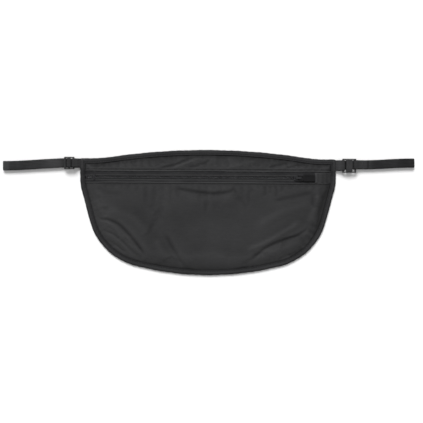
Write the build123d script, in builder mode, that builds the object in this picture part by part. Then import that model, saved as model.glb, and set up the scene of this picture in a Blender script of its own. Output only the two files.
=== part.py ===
"""A flat waist pouch on a narrow elastic belt, laid out as it lies on a table.

+X runs to the side with the clasp, +Y to the pouch's top edge and +Z up off the table.
The origin is on the table, under the middle of the whole piece.
"""
from build123d import *
from math import acos, atan2, cos, hypot, radians, sin, tan
import os

os.makedirs("parts", exist_ok=True)

# Pouch outline
pouch_width = 282.0
pouch_height = 138.0
top_rise = 9.7          # how far the top edge bows up between its two flat ends
top_flat = 24.0         # length of each flat end of the top edge
top_blend = 110.0       # radius between a flat end and the bow
side_upright = 28.0     # upright part of each side, below the top corner
side_lean = 15.0        # degrees that the side leans in below that
side_blend = 60.0
corner_radius = 70.0
bottom_radius = 320.0
top_corner_radius = 2.5

# Cloth
fabric_thick = 0.6
lining_thick = 0.25
pocket_gap = 4.3        # how far the empty pocket stands open
binding_width = 5.5
seam_thick = 2.6        # all the layers that are sewn together under the binding
slope_width = 8.0       # width over which the front rises from the seam
lining_inset = 3.0      # the lining stops this far inside the binding

# Belt webbing and its run round the pouch
strap_width = 10.0
strap_thick = 1.0
strap_span = 452.0      # from fold to fold
strap_drop = 0.8        # strap's upper edge below the pouch's corner
lay_gap = 0.3           # between a strap and the cloth lying over it
layer_gap = 0.5         # between two strap layers lying loose on each other
strap_split = 100.0     # where the two lengths of strap meet behind the pouch
split_gap = 0.3
tail_length = 36.0      # free end beyond the three-bar slide
tilt_gap = 1.1          # room for the threaded strap as the slide tilts
turned_back = 10.0      # sewn-back end, from the middle of the clasp's bar
turned_rise = 0.3       # lowest point of that end above the strap tail's level
loop_run = 5.5          # length over which the sewn loop closes up
web_fit = 0.25          # webbing to the bar that it goes round
web_bend = 0.8          # bend in the middle of the webbing's thickness

# Zip
zip_drop = 20.8         # zip's middle line below the pouch's corner
zip_window = 13.8       # tape showing between the two hems
tape_width = 12.0
tape_thick = 0.5
tape_gap = 1.4          # between the tapes, for the slider's post
coil_width = 1.2
coil_thick = 1.3
zip_start = 1.5         # bottom stop inside the foot of the front's slope
end_tab_length = 18.0
end_tab_width = 11.8
end_tab_thick = 0.7
stop_length = 2.2
stop_width = 2.2
stop_thick = 0.45
stop_fit = 0.05

# Slider and puller
slider_length = 9.9
slider_flare = 1.4      # how much wider the slider is where it parts the tapes
slider_plate = 0.8
slider_fit = 0.15
slider_round = 1.0
flange_width = 0.7
flange_fit = 0.3
post_width = 0.9
post_length = 2.2
crown_length = 7.2
crown_width = 2.0
crown_wall = 0.7
puller_reach = 18.2     # from the pivot to the tip
puller_width = 7.0
puller_grip = 12.6
puller_neck = 5.4
puller_thick = 1.0
puller_bar = 1.1
puller_slack = 0.9      # window longer and wider than the crown, in all
puller_recess = 0.25
pivot_fit = 0.2

# Webbing tabs in the pouch's side seams
tab_tuck = 5.0          # how far they reach into the pouch
tab_width = 11.8        # at the clasp; the slide's tab is as wide as the strap
tab_gap = 0.1           # between a tab's two layers
tab_reach = 7.6         # from the pouch's side to the middle of the clasp's bar

# Three-bar slide
slide_bar = 2.0
slide_thick = 1.8
slide_slot = 2.6
slide_tab_gap = 0.4     # between the tab's loop and the strap, side by side in their slot
slide_reach = 6.7       # from the pouch's side to the middle of the tab's bar
slide_end = 1.3         # frame past the ends of its slots
slide_slack = 0.5       # slot longer than the strap is wide, at each end
slide_shift = 0.2

# Two-part clasp
clasp_bar = 2.0
clasp_slot = 2.3
clasp_end = 1.3
clasp_slack = 1.4
clasp_shift = -1.2      # the strap lies against the upper ends of the clasp's slots
clasp_body = 5.5        # length of the ribbed housing
clasp_thick = 4.2
clasp_gap = 0.2         # housing to plug
clasp_shoulder = 1.1
clasp_shoulder_thick = 3.2
clasp_wall = 1.2
clasp_fit = 0.2
prong_width = 1.6
rib_count = 4
rib_width = 0.6
rib_height = 0.35
mould_edge = 0.45       # rounding on the moulded pieces' edges

# Bar tacks
tack_width = 1.2
tack_thick = 0.3
tack_inset = 2.0

# Heights off the table
lift = strap_thick + lay_gap                      # pouch's back where it lies over the strap
front_z = 2 * (fabric_thick + lining_thick) + pocket_gap
rear_run_z = strap_thick / 2
tail_z = rear_run_z + strap_thick + layer_gap
front_run_z = tail_z + strap_thick + layer_gap
slide_z = front_run_z + strap_thick / 2 + web_fit + slide_thick / 2
clasp_loop = clasp_bar / 2 + web_fit + strap_thick / 2
clasp_z = tail_z + turned_rise + clasp_loop
seam_mid_z = lift + seam_thick / 2
tape_top = front_z - fabric_thick
tape_low = tape_top - tape_thick
coil_low = tape_low - coil_thick
plate_top = tape_top + slider_fit + slider_plate
pivot_z = plate_top + pivot_fit + puller_thick / 2

# Places
half_width = pouch_width / 2
top_y = pouch_height / 2
bottom_y = -pouch_height / 2
corner_y = top_y - top_rise
dome_x = half_width - top_flat
upright_y = corner_y - side_upright
foot_x = half_width - (upright_y - bottom_y) * tan(radians(side_lean))
strap_y = corner_y - strap_drop - strap_width / 2
lift_y = strap_y - strap_width / 2 - 2 * lay_gap
ramp_y = lift_y - slope_width
zip_y = corner_y - zip_drop
inner_x = half_width - binding_width
coil_start = -inner_x + slope_width + zip_start + stop_length
end_tab_x = inner_x - end_tab_length
pivot_x = end_tab_x - puller_reach
coil_end = pivot_x + slider_length / 2 + slider_fit
fold_radius = (front_run_z - rear_run_z) / 2
fold_x = strap_span / 2 - fold_radius - strap_thick / 2
far = pouch_width + pouch_height                  # longer than anything that it cuts

# Three-bar slide, from the pouch outwards
slide_tab_slot = 2 * (strap_thick + web_fit) + slide_tab_gap
tab_bar_x = -half_width - slide_reach
mid_bar_x = tab_bar_x - slide_bar - slide_tab_slot
slot_x = mid_bar_x - slide_bar / 2 - slide_slot / 2
slide_left = slot_x - slide_slot / 2 - slide_bar
slide_length = tab_bar_x + slide_bar / 2 - slide_left
slide_slot_length = strap_width + 2 * slide_slack
slide_y = strap_y + slide_shift
over_bar_z = slide_z + slide_thick / 2 + web_fit + strap_thick / 2
down_x = mid_bar_x + slide_bar / 2 + web_fit + strap_thick / 2

# Clasp, from the pouch outwards
socket_bar_x = half_width + tab_reach
housing_x = socket_bar_x + clasp_bar / 2 + clasp_slot
housing_end = housing_x + clasp_body
shoulder_x = housing_end + clasp_gap
plug_slot_x = shoulder_x + clasp_shoulder
plug_bar_x = plug_slot_x + clasp_slot + clasp_bar / 2
clasp_y = strap_y + clasp_shift
clasp_slot_length = strap_width + 2 * clasp_slack
clasp_width = clasp_slot_length + 2 * clasp_end
cavity_width = clasp_width - 2 * clasp_wall - 2 * clasp_end
cavity_thick = clasp_thick - 2 * clasp_wall


def finish_part(builder, name):
    """Name a finished piece and write it to its own file."""
    builder.part.label = name
    export_step(builder.part, f"parts/{name}.step")


def finish_split(builder, name):
    """Name and write a layer of the front as a flat middle and the sloping pieces round it."""
    middle = builder.part.intersect(middle_form.part)
    slopes = builder.part.cut(middle_form.part)
    layer = Compound([*middle.solids(), *slopes.solids()])
    layer.label = name
    export_step(layer, f"parts/{name}.step")


def cut_to_lie(base, thickness):
    """Keep the layer of an upright prism that lies on the table and steps up over the strap."""
    with BuildSketch(Plane.YZ) as band:
        with BuildLine():
            Polyline(
                (-far, base), (ramp_y, base), (lift_y, lift + base), (far, lift + base),
                (far, lift + base + thickness), (lift_y, lift + base + thickness),
                (ramp_y, base + thickness), (-far, base + thickness), close=True,
            )
        make_face()
    extrude(band.sketch, amount=far, both=True, mode=Mode.INTERSECT)


def cut_to_front(depth, thickness):
    """Keep the layer of an upright prism that lies depth under the pouch's raised face."""
    add(front_form.part.moved(Location((0, 0, -depth))), mode=Mode.INTERSECT)
    add(front_form.part.moved(Location((0, 0, -depth - thickness))), mode=Mode.SUBTRACT)


def keep_strip(low_y, high_y):
    """Keep the part of a sketch between two lines along the zip."""
    with Locations((0, (low_y + high_y) / 2)):
        Rectangle(far, high_y - low_y, mode=Mode.INTERSECT)


def touch_point(start, centre, radius, turn):
    """Where a line from start touches a circle; turn is 1 or -1 for its two sides."""
    run = (start[0] - centre[0], start[1] - centre[1])
    angle = atan2(run[1], run[0]) + turn * acos(radius / hypot(*run))
    return (centre[0] + radius * cos(angle), centre[1] + radius * sin(angle))


def webbing_loop(bar_x, bar_z, radius, upper, lower):
    """Webbing that comes in along upper, goes round a bar and goes out along lower.

    upper and lower each hold an end point and the bend where the webbing turns to the bar.
    """
    centre = (bar_x, bar_z)
    side = 1 if upper[1][0] > bar_x else -1
    on_top = touch_point(upper[1], centre, radius, side)
    beneath = touch_point(lower[1], centre, radius, -side)
    FilletPolyline(*upper, on_top, radius=web_bend)
    ThreePointArc(on_top, (bar_x - side * radius, bar_z), beneath)
    FilletPolyline(beneath, *reversed(lower), radius=web_bend)


# Outline of the pouch, then the same line at the binding's inner edge, at the foot of the flat
# middle of the front, and at the edge of the lining
with BuildSketch() as outline:
    with BuildLine():
        Polyline(
            (dome_x, corner_y), (half_width, corner_y), (half_width, upright_y), (foot_x, bottom_y),
            (-foot_x, bottom_y), (-half_width, upright_y), (-half_width, corner_y), (-dome_x, corner_y),
        )
        ThreePointArc((-dome_x, corner_y), (0, top_y), (dome_x, corner_y))
    make_face()
    with Locations((0, bottom_y + bottom_radius)):
        Circle(bottom_radius, mode=Mode.INTERSECT)
    fillet(outline.vertices().group_by(Axis.Y)[0], corner_radius)
    fillet(outline.vertices().filter_by(lambda v: abs(v.Y - upright_y) < 0.01), side_blend)
    fillet(
        outline.vertices().filter_by(lambda v: abs(v.Y - corner_y) < 0.01 and abs(v.X) < dome_x + 1),
        top_blend,
    )

with BuildSketch() as inner_line:
    add(outline.sketch)
    offset(amount=-binding_width, kind=Kind.INTERSECTION, mode=Mode.REPLACE)

with BuildSketch() as plateau_line:
    add(outline.sketch)
    offset(amount=-binding_width - slope_width, kind=Kind.INTERSECTION, mode=Mode.REPLACE)

with BuildSketch() as lining_line:
    add(outline.sketch)
    offset(amount=-binding_width - lining_inset, kind=Kind.INTERSECTION, mode=Mode.REPLACE)

# Everything under the front's face: flat in the middle, sloping down to the seam all round
with BuildPart() as seam_form:
    with BuildSketch(Plane.XY.offset(-2 * front_z)):
        add(inner_line.sketch)
    extrude(amount=3 * front_z)
    cut_to_lie(-2 * front_z, seam_thick + 2 * front_z)

with BuildPart() as front_form:
    with BuildSketch(Plane.XY.offset(seam_thick)):
        add(inner_line.sketch)
    with BuildSketch(Plane.XY.offset(front_z)):
        add(plateau_line.sketch)
    loft(ruled=True)
    add(seam_form.part)

# Upright prism round the flat middle of the front
with BuildPart() as middle_form:
    with BuildSketch(Plane.XY.offset(-front_z)):
        add(plateau_line.sketch)
    extrude(amount=3 * front_z)

# Back of the pouch: the cloth that lies on the table, and its lining
with BuildPart() as back_panel:
    with BuildSketch():
        add(inner_line.sketch)
    extrude(amount=front_z)
    cut_to_lie(0, fabric_thick)
finish_part(back_panel, "back_panel")

with BuildPart() as back_lining:
    with BuildSketch():
        add(lining_line.sketch)
    extrude(amount=front_z)
    cut_to_lie(fabric_thick, lining_thick)
finish_part(back_lining, "back_lining")

# Front of the pouch: the large panel under the zip with its lining, and the yoke above the zip
with BuildPart() as front_panel:
    with BuildSketch():
        add(inner_line.sketch)
        keep_strip(bottom_y, zip_y - zip_window / 2)
    extrude(amount=front_z)
    cut_to_front(0, fabric_thick)
finish_split(front_panel, "front_panel")

with BuildPart() as front_lining:
    with BuildSketch():
        add(lining_line.sketch)
        keep_strip(bottom_y, zip_y - tape_gap / 2 - tape_width - lay_gap)
    extrude(amount=front_z)
    cut_to_front(fabric_thick, lining_thick)
finish_part(front_lining, "front_lining")

with BuildPart() as yoke_panel:
    with BuildSketch():
        add(inner_line.sketch)
        keep_strip(zip_y + zip_window / 2, top_y)
    extrude(amount=front_z)
    cut_to_front(0, fabric_thick)
finish_split(yoke_panel, "yoke_panel")

# Binding that wraps the seam all round, with a slit at each side where a webbing tab goes in
with BuildPart() as edge_binding:
    with BuildSketch():
        add(outline.sketch)
        fillet(
            vertices().filter_by(lambda v: abs(v.Y - corner_y) < 0.01 and abs(v.X) > half_width - 0.01),
            top_corner_radius,
        )
        add(inner_line.sketch, mode=Mode.SUBTRACT)
    extrude(amount=front_z)
    cut_to_lie(0, seam_thick)
    for side, width, tab_y in ((-1, strap_width, strap_y), (1, tab_width, clasp_y)):
        with Locations((side * half_width, tab_y, seam_mid_z)):
            Box(2 * tab_tuck, width, 2 * strap_thick + tab_gap, mode=Mode.SUBTRACT)
finish_part(edge_binding, "edge_binding")

# Zip tapes, sewn under the two hems, with a narrow gap along the middle
for name, side in (("zip_tape_upper", 1), ("zip_tape_lower", -1)):
    near_y = zip_y + side * tape_gap / 2
    far_y = near_y + side * tape_width
    with BuildPart() as zip_tape:
        with BuildSketch():
            add(inner_line.sketch)
            keep_strip(min(near_y, far_y), max(near_y, far_y))
        extrude(amount=front_z)
        cut_to_front(fabric_thick, tape_thick)
    finish_split(zip_tape, name)

# Coils, sewn along the tapes' inner edges on their underside
for name, side in (("zip_coil_upper", 1), ("zip_coil_lower", -1)):
    with BuildPart() as zip_coil:
        with Locations(((coil_start + coil_end) / 2, zip_y + side * (tape_gap + coil_width) / 2, coil_low)):
            Box(coil_end - coil_start, coil_width, coil_thick, align=(Align.CENTER, Align.CENTER, Align.MIN))
    finish_part(zip_coil, name)

# Top stops, one clamped on the edge of each tape, and the bottom stop that joins both tapes
stop_height = tape_thick + 2 * (stop_thick + stop_fit)
stop_mid_z = (tape_top + tape_low) / 2
stop_web = tape_gap / 2 - stop_fit
with BuildPart() as zip_top_stops:
    with BuildSketch(Plane.YZ.offset(coil_end + stop_fit)):
        for side in (-1, 1):
            with Locations((zip_y + side * (stop_web - stop_thick + stop_width / 2), stop_mid_z)):
                Rectangle(stop_width, stop_height)
            with Locations((zip_y + side * (stop_web + stop_width / 2), stop_mid_z)):
                Rectangle(stop_width, tape_thick + 2 * stop_fit, mode=Mode.SUBTRACT)
    extrude(amount=stop_length)
finish_part(zip_top_stops, "zip_top_stops")

with BuildPart() as zip_bottom_stop:
    with BuildSketch(Plane.YZ.offset(coil_start - stop_length - stop_fit)):
        with Locations((zip_y, stop_mid_z)):
            Rectangle(2 * (stop_web + stop_width), stop_height)
        for side in (-1, 1):
            with Locations((zip_y + side * (stop_web + stop_width / 2), stop_mid_z)):
                Rectangle(stop_width, tape_thick + 2 * stop_fit, mode=Mode.SUBTRACT)
    extrude(amount=stop_length)
finish_part(zip_bottom_stop, "zip_bottom_stop")

# Square of cloth that covers the tapes at the closed end of the zip
with BuildPart() as zip_end_tab:
    with BuildSketch():
        with Locations((end_tab_x, zip_y)):
            Rectangle(end_tab_length, end_tab_width, align=(Align.MIN, Align.CENTER))
    extrude(amount=2 * front_z)
    cut_to_front(fabric_thick - end_tab_thick, end_tab_thick)
finish_part(zip_end_tab, "zip_end_tab")

# Slider: a plate on each side of the tapes, flanges that hold the coils, and the post between them
coil_outer = tape_gap / 2 + coil_width + flange_fit
slider_back = 2 * (coil_outer + flange_width)
slider_front = slider_back + slider_flare
plate_low = coil_low - slider_fit - slider_plate
with BuildSketch() as slider_line:
    with BuildLine():
        Polyline(
            (pivot_x - slider_length / 2, zip_y - slider_back / 2), (pivot_x, zip_y - slider_front / 2),
            (pivot_x + slider_length / 2, zip_y - slider_front / 2),
            (pivot_x + slider_length / 2, zip_y + slider_front / 2),
            (pivot_x, zip_y + slider_front / 2), (pivot_x - slider_length / 2, zip_y + slider_back / 2),
            close=True,
        )
    make_face()
    fillet(slider_line.vertices(), slider_round)

with BuildPart() as slider_body:
    with BuildSketch(Plane.XY.offset(plate_low)):
        add(slider_line.sketch)
    extrude(amount=slider_plate)
    with BuildSketch(Plane.XY.offset(tape_top + slider_fit)):
        add(slider_line.sketch)
    extrude(amount=slider_plate)
    chamfer(slider_body.faces().sort_by(Axis.Z)[-1].edges(), slider_plate / 3)
    with BuildSketch(Plane.XY.offset(coil_low - slider_fit)):
        add(slider_line.sketch)
        with Locations((pivot_x, zip_y)):
            Rectangle(2 * slider_length, 2 * coil_outer, mode=Mode.SUBTRACT)
    extrude(amount=coil_thick)
    with BuildSketch(Plane.XY.offset(plate_low)):
        with Locations((pivot_x + slider_length / 2 - slider_round, zip_y)):
            SlotOverall(post_length, post_width)
    extrude(amount=plate_top - slider_plate / 2 - plate_low)
finish_part(slider_body, "slider_body")

# Crown: the arch on the slider that the puller swings on
crown_inside = 2 * pivot_fit + puller_thick
with BuildPart() as slider_crown:
    with BuildSketch(Plane.XZ.offset(-zip_y)) as arch:
        with Locations((pivot_x, plate_top)):
            Rectangle(crown_length, crown_inside + crown_wall, align=(Align.CENTER, Align.MIN))
        fillet(arch.vertices().group_by(Axis.Z)[-1], crown_wall)
        with Locations((pivot_x, plate_top)):
            Rectangle(
                crown_length - 2 * crown_wall, crown_inside,
                align=(Align.CENTER, Align.MIN), mode=Mode.SUBTRACT,
            )
    extrude(amount=crown_width / 2, both=True)
finish_part(slider_crown, "slider_crown")

# Puller: a neck with a window that straddles the crown, and a wider grip with a sunk middle
window_length = crown_length / 2 + puller_slack - puller_bar / 2
with BuildPart() as zip_puller:
    with BuildSketch(Plane.XY.offset(pivot_z - puller_thick / 2)):
        with Locations((pivot_x - puller_bar / 2, zip_y)):
            Rectangle(puller_reach / 2, puller_neck, align=(Align.MIN, Align.CENTER))
        with Locations((pivot_x + puller_reach - puller_grip / 2, zip_y)):
            RectangleRounded(puller_grip, puller_width, puller_width / 5)
        with Locations((pivot_x + puller_bar / 2, zip_y)):
            Rectangle(
                window_length, crown_width + puller_slack,
                align=(Align.MIN, Align.CENTER), mode=Mode.SUBTRACT,
            )
    extrude(amount=puller_thick)
    fillet(
        zip_puller.edges().filter_by(Axis.Y).filter_by(lambda e: e.center().X < pivot_x + puller_bar),
        0.45 * puller_thick,
    )
    with BuildSketch(Plane.XY.offset(pivot_z + puller_thick / 2)):
        with Locations((pivot_x + puller_reach - puller_grip / 2, zip_y)):
            RectangleRounded(
                puller_grip - puller_width / 3, puller_width * 2 / 3, puller_width / 8
            )
    extrude(amount=-puller_recess, mode=Mode.SUBTRACT)
finish_part(zip_puller, "zip_puller")

# Webbing tabs: each goes in through the side seam, round a bar and back in on top of itself
for name, side, bar_x, bar_z, width in (
    ("slide_tab", -1, tab_bar_x, slide_z, strap_width),
    ("clasp_tab", 1, socket_bar_x, clasp_z, tab_width),
):
    upper_z = seam_mid_z + (strap_thick + tab_gap) / 2
    lower_z = seam_mid_z - (strap_thick + tab_gap) / 2
    edge_x = side * (half_width + web_bend)
    end_x = side * (half_width - tab_tuck)
    tab_y = strap_y if side < 0 else clasp_y
    with BuildPart() as web_tab:
        with BuildSketch(Plane.XZ.offset(-tab_y)):
            with BuildLine():
                webbing_loop(
                    bar_x, bar_z, clasp_loop,
                    ((end_x, upper_z), (edge_x, upper_z)),
                    ((end_x, lower_z), (edge_x, lower_z)),
                )
            trace(line_width=strap_thick)
        extrude(amount=width / 2, both=True)
    finish_part(web_tab, name)

# Three-bar slide: one bar in the pouch's tab, the strap over the middle bar and under the last
with BuildPart() as strap_slide:
    with BuildSketch(Plane.XY.offset(slide_z - slide_thick / 2)):
        with Locations((slide_left + slide_length / 2, slide_y)):
            RectangleRounded(slide_length, slide_slot_length + 2 * slide_end, slide_bar / 2)
        with Locations((slot_x, slide_y)):
            Rectangle(slide_slot, slide_slot_length, mode=Mode.SUBTRACT)
        with Locations((tab_bar_x - (slide_bar + slide_tab_slot) / 2, slide_y)):
            Rectangle(slide_tab_slot, slide_slot_length, mode=Mode.SUBTRACT)
    extrude(amount=slide_thick)
    fillet(strap_slide.faces().filter_by(Axis.Z).edges(), mould_edge)
finish_part(strap_slide, "strap_slide")

# Strap, left of the split: from behind the pouch round the left fold and up to the slide
with BuildPart() as strap_left:
    with BuildSketch(Plane.XZ.offset(-strap_y)):
        with BuildLine():
            Line((strap_split, rear_run_z), (-fold_x, rear_run_z))
            ThreePointArc(
                (-fold_x, rear_run_z), (-fold_x - fold_radius, rear_run_z + fold_radius),
                (-fold_x, front_run_z),
            )
            Line((-fold_x, front_run_z), (slide_left - tilt_gap, front_run_z))
        trace(line_width=strap_thick)
    extrude(amount=strap_width / 2, both=True)
finish_part(strap_left, "strap_left")

# Strap threaded through the slide, under the last bar, over the middle one and back
with BuildPart() as strap_threaded:
    with BuildSketch(Plane.XZ.offset(-strap_y)):
        with BuildLine():
            FilletPolyline(
                (slide_left, front_run_z), (slot_x, front_run_z), (slot_x, over_bar_z),
                (down_x, over_bar_z), (down_x, tail_z), (slide_left, tail_z), radius=web_bend,
            )
        trace(line_width=strap_thick)
    extrude(amount=strap_width / 2, both=True)
finish_part(strap_threaded, "strap_threaded")

# Free end of the strap, lying between its front and rear runs
with BuildPart() as strap_tail:
    with BuildSketch(Plane.XZ.offset(-strap_y)):
        with BuildLine():
            Line((slide_left - tilt_gap, tail_z), (slide_left - tilt_gap - tail_length, tail_z))
        trace(line_width=strap_thick)
    extrude(amount=strap_width / 2, both=True)
finish_part(strap_tail, "strap_tail")

# Strap, right of the split: round the right fold to the clasp, round its bar and sewn to itself
with BuildPart() as strap_right:
    with BuildSketch(Plane.XZ.offset(-strap_y)):
        with BuildLine():
            Line((strap_split + split_gap, rear_run_z), (fold_x, rear_run_z))
            ThreePointArc(
                (fold_x, rear_run_z), (fold_x + fold_radius, rear_run_z + fold_radius),
                (fold_x, front_run_z),
            )
            webbing_loop(
                plug_bar_x, clasp_z, clasp_loop,
                ((fold_x, front_run_z), (plug_bar_x + loop_run, front_run_z)),
                ((plug_bar_x + turned_back, tail_z), (plug_bar_x + loop_run, tail_z)),
            )
        trace(line_width=strap_thick)
    extrude(amount=strap_width / 2, both=True)
finish_part(strap_right, "strap_right")

# Clasp, pouch side: a loop for the tab and a ribbed housing, open towards the strap
with BuildPart() as clasp_socket:
    with BuildSketch(Plane.XY.offset(clasp_z - clasp_bar / 2)):
        with Locations((socket_bar_x - clasp_bar / 2, clasp_y)):
            Rectangle(
                clasp_bar + clasp_slot + clasp_wall, clasp_width, align=(Align.MIN, Align.CENTER)
            )
        with Locations((socket_bar_x + (clasp_bar + clasp_slot) / 2, clasp_y)):
            Rectangle(clasp_slot, clasp_slot_length, mode=Mode.SUBTRACT)
    extrude(amount=clasp_bar)
    fillet(clasp_socket.edges().filter_by(Axis.Z).group_by(Axis.X)[0], clasp_bar / 2)
    fillet(clasp_socket.faces().filter_by(Axis.Z).edges(), mould_edge)
    with BuildSketch(Plane.YZ.offset(housing_x)):
        with Locations((clasp_y, clasp_z)):
            RectangleRounded(clasp_width, clasp_thick, clasp_wall)
    extrude(amount=clasp_body)
    rib_pitch = clasp_body / (rib_count + 0.5)
    with Locations(*[
        (housing_x + (rib + 0.75) * rib_pitch, clasp_y, clasp_z) for rib in range(rib_count)
    ]):
        Box(rib_width, clasp_width - 2 * clasp_wall - rib_width, clasp_thick + 2 * rib_height)
    with BuildSketch(Plane.YZ.offset(housing_end)):
        with Locations((clasp_y, clasp_z)):
            Rectangle(cavity_width, cavity_thick)
    extrude(amount=clasp_wall - clasp_body, mode=Mode.SUBTRACT)
finish_part(clasp_socket, "clasp_socket")

# Clasp, strap side: a loop for the strap, a shoulder that closes the housing, and two prongs
tongue_thick = cavity_thick - 2 * clasp_fit
tongue_width = cavity_width - 2 * clasp_fit
tongue_x = housing_x + clasp_wall + clasp_fit
with BuildPart() as clasp_plug:
    with BuildSketch(Plane.XY.offset(clasp_z - clasp_bar / 2)):
        with Locations((shoulder_x, clasp_y)):
            Rectangle(
                clasp_shoulder + clasp_slot + clasp_bar, clasp_width, align=(Align.MIN, Align.CENTER)
            )
        with Locations((plug_slot_x + clasp_slot / 2, clasp_y)):
            Rectangle(clasp_slot, clasp_slot_length, mode=Mode.SUBTRACT)
    extrude(amount=clasp_bar)
    fillet(clasp_plug.edges().filter_by(Axis.Z).group_by(Axis.X)[-1], clasp_bar / 2)
    fillet(clasp_plug.faces().filter_by(Axis.Z).edges(), mould_edge)
    with BuildSketch(Plane.YZ.offset(shoulder_x)):
        with Locations((clasp_y, clasp_z)):
            RectangleRounded(clasp_width, clasp_shoulder_thick, clasp_wall)
    extrude(amount=clasp_shoulder)
    with BuildSketch(Plane.XY.offset(clasp_z - tongue_thick / 2)):
        with Locations((tongue_x, clasp_y)):
            Rectangle(shoulder_x - tongue_x, tongue_width, align=(Align.MIN, Align.CENTER))
            Rectangle(
                2 * (shoulder_x - tongue_x - clasp_wall), tongue_width - 2 * prong_width,
                mode=Mode.SUBTRACT,
            )
        with Locations((shoulder_x, clasp_y)):
            Rectangle(
                shoulder_x - tongue_x - clasp_fit, prong_width, align=(Align.MAX, Align.CENTER)
            )
    extrude(amount=tongue_thick)
finish_part(clasp_plug, "clasp_plug")

# Bar tacks: thread that holds the tabs in the side seams, and the sewn-back end of the strap
with BuildPart() as tab_tacks:
    for side, width, tab_y in ((-1, strap_width, strap_y), (1, tab_width, clasp_y)):
        with Locations((side * (half_width - tack_inset), tab_y, lift + seam_thick)):
            Box(tack_width, width - tack_width, tack_thick, align=(Align.CENTER, Align.CENTER, Align.MIN))
finish_part(tab_tacks, "tab_tacks")

with BuildPart() as strap_tacks:
    for reach in (loop_run + tack_width, turned_back - tack_width / 2):
        with Locations((plug_bar_x + reach, strap_y, front_run_z + strap_thick / 2)):
            Box(
                tack_width, strap_width - tack_width, tack_thick,
                align=(Align.CENTER, Align.CENTER, Align.MIN),
            )
finish_part(strap_tacks, "strap_tacks")
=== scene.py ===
"""A flat waist pouch on a narrow belt, laid out on a pale table and seen from straight above."""
import math

import bmesh
import bpy
import numpy as np
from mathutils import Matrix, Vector
from mathutils.bvhtree import BVHTree


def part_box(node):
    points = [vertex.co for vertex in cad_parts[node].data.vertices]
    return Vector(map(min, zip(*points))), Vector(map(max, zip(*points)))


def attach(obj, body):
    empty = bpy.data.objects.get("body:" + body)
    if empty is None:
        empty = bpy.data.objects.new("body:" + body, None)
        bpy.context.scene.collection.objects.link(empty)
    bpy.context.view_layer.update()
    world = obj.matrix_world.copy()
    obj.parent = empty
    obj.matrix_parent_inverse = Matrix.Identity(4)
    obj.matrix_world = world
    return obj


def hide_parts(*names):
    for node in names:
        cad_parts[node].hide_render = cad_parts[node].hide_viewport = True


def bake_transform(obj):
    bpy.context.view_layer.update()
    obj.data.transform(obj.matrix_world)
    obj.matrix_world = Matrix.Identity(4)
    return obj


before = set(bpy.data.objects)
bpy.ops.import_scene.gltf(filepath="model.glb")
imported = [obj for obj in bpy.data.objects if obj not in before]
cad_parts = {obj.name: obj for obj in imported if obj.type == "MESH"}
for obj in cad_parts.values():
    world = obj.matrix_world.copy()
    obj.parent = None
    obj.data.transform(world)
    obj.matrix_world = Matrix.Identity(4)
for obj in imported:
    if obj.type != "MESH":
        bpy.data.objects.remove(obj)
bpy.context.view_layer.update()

# ---- Front panel -------------------------------------------------------------------------------
# The large half-moon panel under the zip: one piece of thin, closely woven dark nylon. Its foot and
# sides are caught in the edge binding, its top edge is folded under and stitched down to the zip.


def surface_of(obj):
    """A mesh that points can be dropped on."""
    mesh = obj.data
    return BVHTree.FromPolygons([v.co for v in mesh.vertices], [p.vertices for p in mesh.polygons])


def points_of(obj):
    """The places of a mesh's points."""
    return np.array([v.co for v in obj.data.vertices])


pouch_middle, binding_mid_z = (0, -0.006), 0.00145
seam_length, binding_width = 0.79, 0.0055


def seam_line(outside, count=1440):
    """Points round the edge binding, anticlockwise from the top: its outer edge, or the edge inside it."""
    binding, line = surface_of(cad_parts["edge_binding"]), []
    middle, far = Vector((*pouch_middle, binding_mid_z)), 0.4
    for step in range(count):
        turn = math.pi / 2 + 2 * math.pi * (step + 0.5) / count
        out = Vector((math.cos(turn), math.sin(turn), 0))
        place = binding.ray_cast(middle + far * out, -out) if outside else binding.ray_cast(middle, out)
        line.append(place[0][:2])
    return np.array(line)


def even(line, count):
    """The same line with evenly spaced points."""
    steps = np.linalg.norm(np.diff(line, axis=0), axis=1)
    run = np.concatenate([[0], np.cumsum(steps)])
    stops = np.linspace(0, run[-1], count)
    return np.stack([np.interp(stops, run, line[:, k]) for k in range(line.shape[1])], 1)


def rounded(path, rounds=3):
    """A line with its corners cut off again and again, which leaves it smooth."""
    line = np.array(path, float)
    for _ in range(rounds):
        a, b = line[:-1], line[1:]
        cut = np.stack([0.75 * a + 0.25 * b, 0.25 * a + 0.75 * b], 1).reshape(-1, line.shape[1])
        line = np.concatenate([line[:1], cut, line[-1:]])
    return line


def side_of(line, y, lower):
    """The part of a closed line below or above a cut along X, running from left to right."""
    line = np.roll(line, -int(np.argmax(line[:, 1] if lower else -line[:, 1])), axis=0)
    keep = np.flatnonzero(line[:, 1] < y if lower else line[:, 1] > y)
    part = line[keep[0] - 1:keep[-1] + 2].copy()
    for end, near in ((0, 1), (-1, -2)):
        share = (y - part[near, 1]) / (part[end, 1] - part[near, 1])
        part[end] = part[near] + share * (part[end] - part[near])
    return part if lower else part[::-1]


def patch(foot, top, left, right):
    """A grid that fills the space between four edges. Foot and top run right, left and right run up."""
    u, v = np.linspace(0, 1, len(foot))[:, None, None], np.linspace(0, 1, len(left))[None, :, None]
    edges = (1 - v) * foot[:, None] + v * top[:, None] + (1 - u) * left[None] + u * right[None]
    edges = edges - (1 - u) * (1 - v) * foot[0] - u * (1 - v) * foot[-1]
    return edges - (1 - u) * v * top[0] - u * v * top[-1]


def corner(line, right, up):
    """The number of the point that lies furthest out towards one corner."""
    return int(np.argmax(right * line[:, 0] + up * line[:, 1]))


def half_moon(line, cut, wide, high):
    """A grid over the part of a closed line below a cut along X."""
    edge = side_of(line, cut, True)
    left, right = corner(edge, -1, -1), corner(edge, 1, -1)
    return patch(
        even(edge[left:right + 1], wide), even(np.array([edge[0], edge[-1]]), wide),
        even(edge[:left + 1][::-1], high), even(edge[right:], high),
    )


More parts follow.
